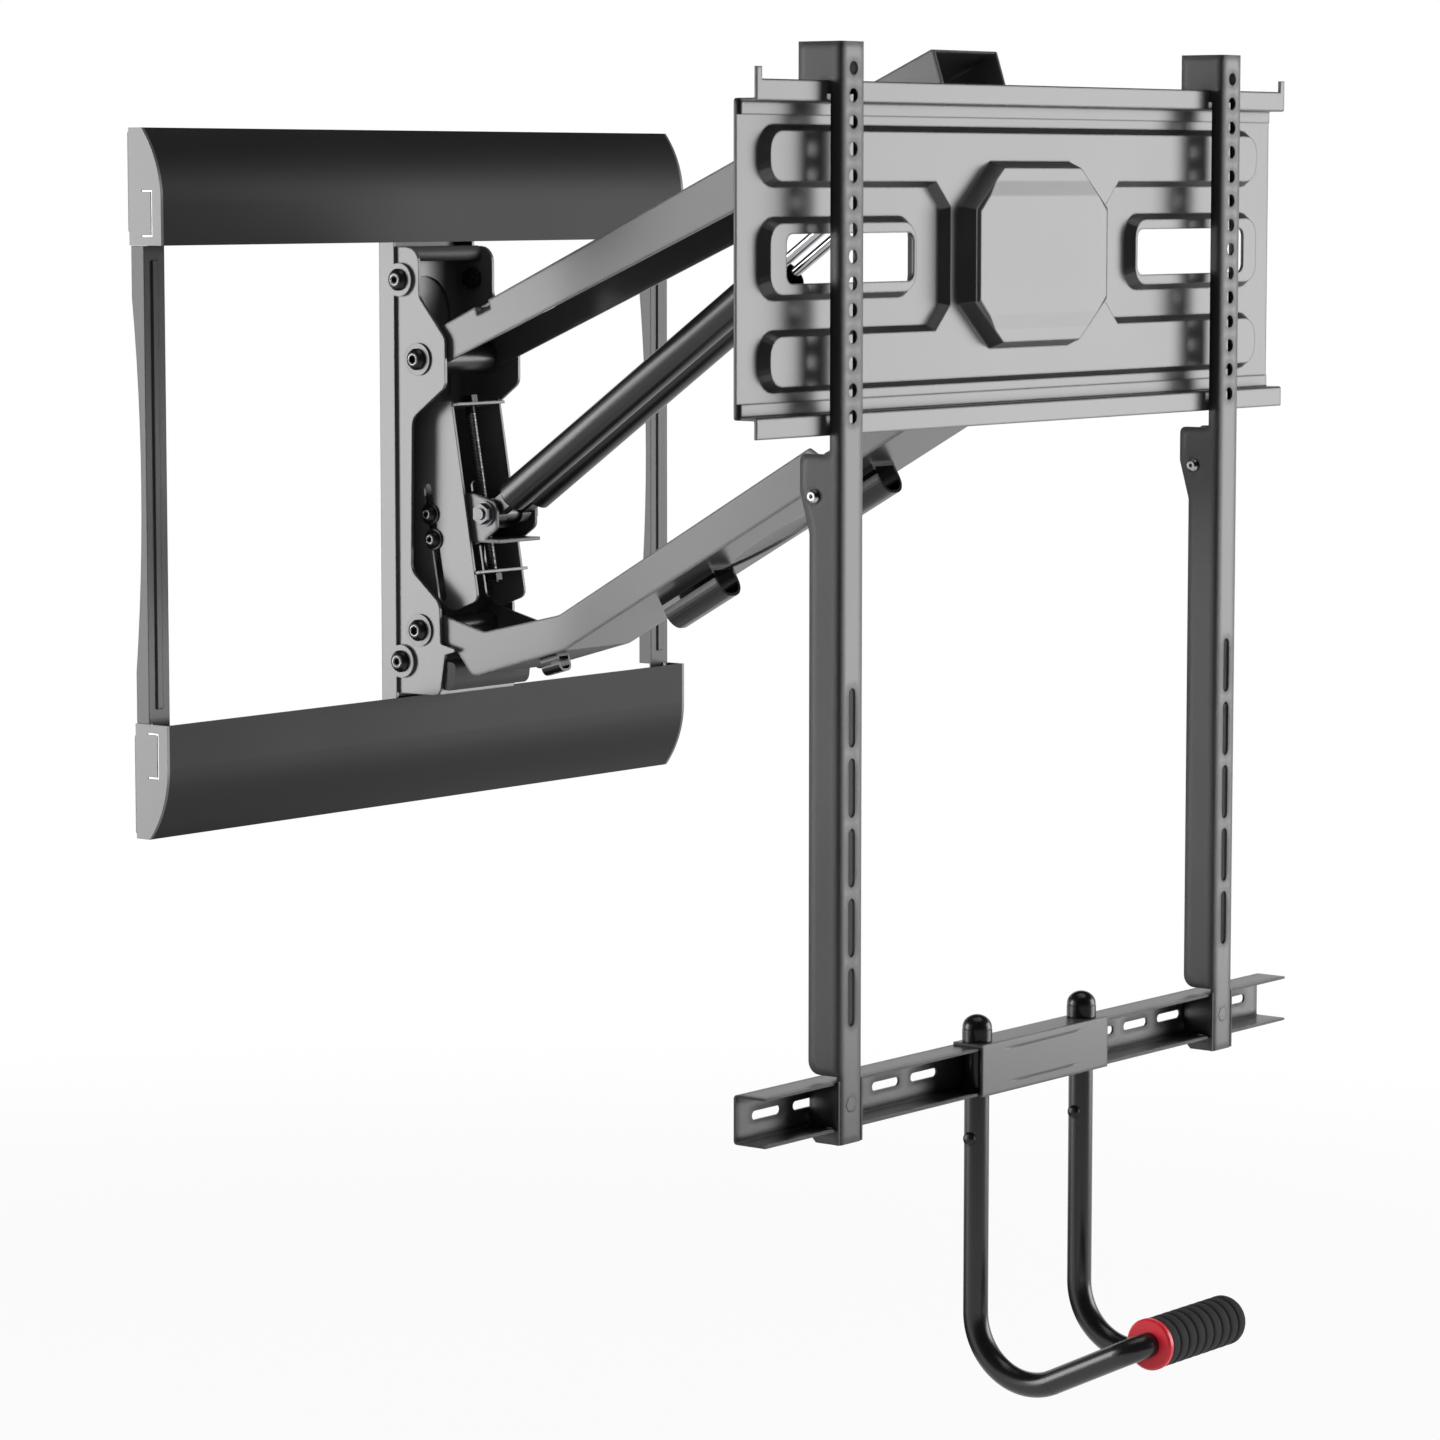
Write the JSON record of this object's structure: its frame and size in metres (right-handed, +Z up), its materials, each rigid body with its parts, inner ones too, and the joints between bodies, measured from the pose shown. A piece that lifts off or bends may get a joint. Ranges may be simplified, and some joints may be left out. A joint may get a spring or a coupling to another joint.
{
  "type": "pull-down tv wall mount",
  "caption": "Wall mount that swings a screen down and forward from the wall on parallel arms with gas springs, with swivel, tilt, hook rails and a foam-gripped pull handle.",
  "frame": {"origin": "on the wall plane, at the centre of the wall screw pattern", "axes": "+X to the right of a person who faces the screen, +Y into the wall, +Z up; the screen side faces -Y"},
  "size_m": [0.738, 0.8423, 1.0629],
  "materials": {
    "wall_steel": "satin powder coat",
    "strip_steel": "satin powder coat",
    "column_steel": "satin powder coat",
    "arm_steel": "satin powder coat",
    "head_steel": "satin powder coat",
    "plate_steel": "satin powder coat",
    "bracket_steel": "satin powder coat",
    "handle_steel": "gloss powder coat",
    "cover_plastic": "moulded matte",
    "cap_plastic": "moulded matte",
    "clip_plastic": "moulded satin",
    "dark_fastener": "black oxide",
    "zinc": "zinc plate",
    "spring_tube": "gloss lacquer",
    "spring_rod": "ground and plated",
    "bumper_rubber": "moulded",
    "foam": "closed cell foam",
    "red_plastic": "moulded"
  },
  "bodies": {
    "wall_unit": {"upper_wall_rail": "wall_steel", "lower_wall_rail": "wall_steel", "left_side_strip": "strip_steel", "right_side_strip": "strip_steel", "strip_screws": "zinc", "wall_column": "column_steel", "arm_carrier": "column_steel", "ear_screws": "dark_fastener", "upper_stop_bar": "zinc", "lower_bumper": "bumper_rubber", "upper_cover": "cover_plastic", "lower_cover": "cover_plastic", "upper_left_cap": "cap_plastic", "upper_right_cap": "cap_plastic", "lower_left_cap": "cap_plastic", "lower_right_cap": "cap_plastic", "upper_wall_axle": "dark_fastener", "lower_wall_axle": "dark_fastener", "pivot_washers": "zinc", "adjuster_bracket": "column_steel", "slider_block": "column_steel", "slider_bolts": "dark_fastener", "slider_pin": "zinc"},
    "tension_screw": {"tension_screw": "zinc"},
    "upper_arm": {"upper_arm": "arm_steel", "upper_arm_hubs": "arm_steel", "spring_top_pin": "zinc"},
    "lower_arm": {"lower_arm": "arm_steel", "lower_arm_hubs": "arm_steel", "cable_clips": "clip_plastic"},
    "gas_cylinders": {"left_gas_cylinder": "spring_tube", "right_gas_cylinder": "spring_tube"},
    "gas_rods": {"left_gas_rod": "spring_rod", "right_gas_rod": "spring_rod"},
    "head": {"head_bracket": "head_steel", "head_upper_axle": "dark_fastener", "head_lower_studs": "dark_fastener", "swivel_pin": "zinc"},
    "swivel": {"swivel_block": "head_steel", "tilt_pin": "dark_fastener"},
    "screen_plate": {"tilt_bracket": "head_steel", "vesa_plate": "plate_steel", "upper_hook_rail": "plate_steel", "lower_hook_rail": "plate_steel"},
    "screen_frame": {"left_tv_bracket": "bracket_steel", "right_tv_bracket": "bracket_steel", "safety_screws": "zinc", "cross_rail": "bracket_steel", "cross_rail_bolts": "dark_fastener", "handle_clamp": "bracket_steel"},
    "handle": {"handle_tube": "handle_steel", "leg_caps": "clip_plastic", "stop_pins": "zinc", "grip_foam": "foam", "left_grip_ring": "red_plastic", "right_grip_ring": "red_plastic"}
  },
  "joints": [
    {"name": "pull_down", "type": "hinge", "parent": "wall_unit", "child": "upper_arm", "pos_m": [0, -0.062, 0.097], "axis": [-1, 0, 0], "range_deg": [0, 58]},
    {"name": "lower_arm_pivot", "type": "hinge", "parent": "wall_unit", "child": "lower_arm", "pos_m": [0, -0.062, -0.137], "axis": [-1, 0, 0], "range_deg": [0, 58]},
    {"name": "cylinder_pivot", "type": "hinge", "parent": "wall_unit", "child": "gas_cylinders", "pos_m": [0, -0.117, -0.035], "axis": [-1, 0, 0], "range_deg": [0, 51]},
    {"name": "rod_pivot", "type": "hinge", "parent": "upper_arm", "child": "gas_rods", "pos_m": [0, -0.53579, 0.25606], "axis": [-1, 0, 0], "range_deg": [-8, 0]},
    {"name": "head_pivot", "type": "hinge", "parent": "upper_arm", "child": "head", "pos_m": [0, -0.57827, 0.30874], "axis": [-1, 0, 0], "range_deg": [-58, 0]},
    {"name": "swivel", "type": "hinge", "parent": "head", "child": "swivel", "pos_m": [0, -0.63527, 0.19174], "axis": [0, 0, 1], "range_deg": [-25, 25]},
    {"name": "tilt", "type": "hinge", "parent": "swivel", "child": "screen_plate", "pos_m": [0, -0.65527, 0.19174], "axis": [-1, 0, 0], "range_deg": [-5, 5]},
    {"name": "side_shift", "type": "slide", "parent": "screen_plate", "child": "screen_frame", "axis": [1, 0, 0], "range_m": [-0.08, 0.08]},
    {"name": "handle_lift", "type": "slide", "parent": "screen_frame", "child": "handle", "axis": [0, 0, 1], "range_m": [0, 0.03]},
    {"name": "tension_turn", "type": "hinge", "parent": "wall_unit", "child": "tension_screw", "pos_m": [0, -0.0885, -0.01], "axis": [0, 0.1736, 0.9848], "continuous": true}
  ],
  "couplings": [
    {"joint": "lower_arm_pivot", "follows": "pull_down", "ratio": 1},
    {"joint": "head_pivot", "follows": "pull_down", "ratio": -1},
    {"joint": "cylinder_pivot", "follows": "pull_down", "ratio": 0.866},
    {"joint": "rod_pivot", "follows": "pull_down", "ratio": -0.134}
  ]
}
